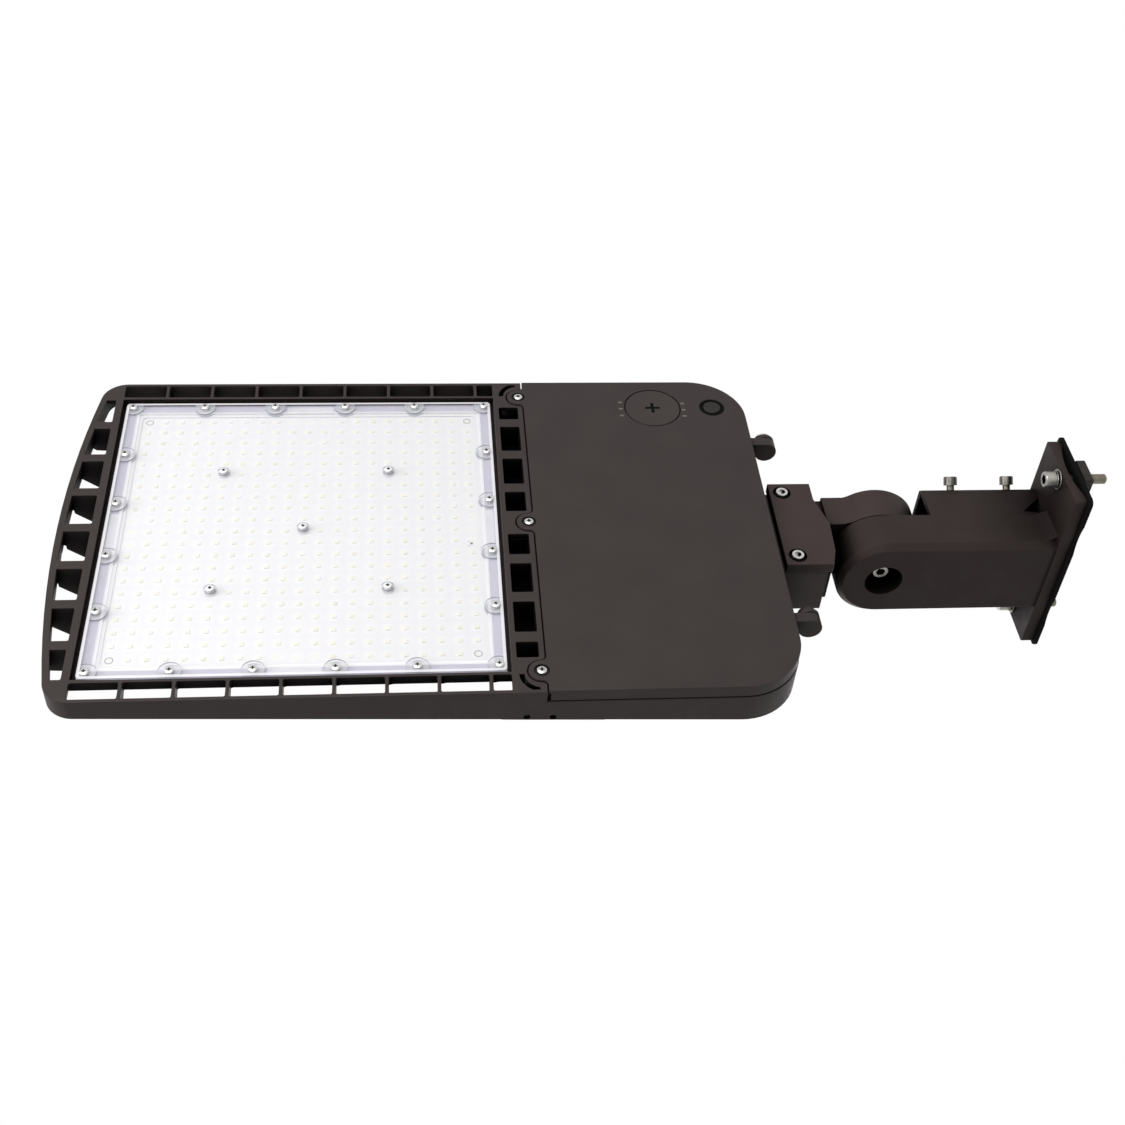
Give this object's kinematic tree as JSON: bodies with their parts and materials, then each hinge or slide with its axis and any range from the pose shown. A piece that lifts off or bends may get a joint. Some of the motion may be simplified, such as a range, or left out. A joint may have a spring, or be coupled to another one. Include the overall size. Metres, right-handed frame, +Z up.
{
  "type": "street light",
  "caption": "LED area and street light with a square lens in a windowed cast rim, hinged driver door, tilting knuckle arm and plate for a pole.",
  "frame": {"origin": "centre of the flat rear face of the pole gasket, where it bears on the pole", "axes": "+X from the pole out over the road, +Z up in use, the lens faces -Z"},
  "size_m": [0.812, 0.346, 0.164],
  "materials": {
    "bronze_casting": "matte",
    "bronze_casting_arm": "matte",
    "bronze_door": "matte",
    "bronze_cap": "matte",
    "stainless": "satin",
    "plated_nut_block": "satin",
    "black_rubber": "matte",
    "grey_silicone": "matte",
    "clear_lens": "gloss",
    "white_board": "satin",
    "driver_case": "satin",
    "black_plastic": "matte",
    "white_plastic": "satin",
    "blue_plastic": "satin",
    "wire_jacket": "satin"
  },
  "bodies": {
    "arm": {"pole_arm": "bronze_casting_arm", "pole_gasket": "black_rubber", "pole_bolts": "stainless", "pole_spring_washers": "stainless", "pole_flat_washers": "stainless", "pole_nuts": "plated_nut_block", "arm_screws": "stainless"},
    "head": {"neck_bracket": "bronze_casting_arm", "bracket_screws": "stainless", "knuckle_bolt": "stainless", "knuckle_washer": "stainless", "knuckle_nut": "stainless", "housing": "bronze_casting", "led_board": "white_board", "lens": "clear_lens", "lens_gasket": "grey_silicone", "lens_screws": "stainless", "board_screws": "stainless", "hinge_pins": "stainless", "driver": "driver_case", "driver_screws": "stainless", "surge_protector": "black_plastic", "terminal_block": "white_plastic", "selector_switch": "blue_plastic", "cable_grommet": "black_rubber", "internal_wires": "wire_jacket"},
    "door": {"driver_door": "bronze_door", "door_gasket": "grey_silicone", "door_screws": "stainless", "port_plug": "black_rubber"},
    "cap": {"selector_cap": "bronze_cap", "cap_seal": "grey_silicone"}
  },
  "joints": [
    {"name": "knuckle_tilt", "type": "hinge", "parent": "arm", "child": "head", "pos_m": [0.1458, 0, 0.0054], "axis": [0, 1, 0], "range_deg": [-90, 45]},
    {"name": "door_hinge", "type": "hinge", "parent": "head", "child": "door", "pos_m": [0.224, 0, -0.0212], "axis": [0, 1, 0], "range_deg": [0, 95]},
    {"name": "cap_turn", "type": "hinge", "parent": "door", "child": "cap", "pos_m": [0.3147, 0.1379, -0.0315], "axis": [0, 0, -1], "range_deg": [0, 90]}
  ]
}
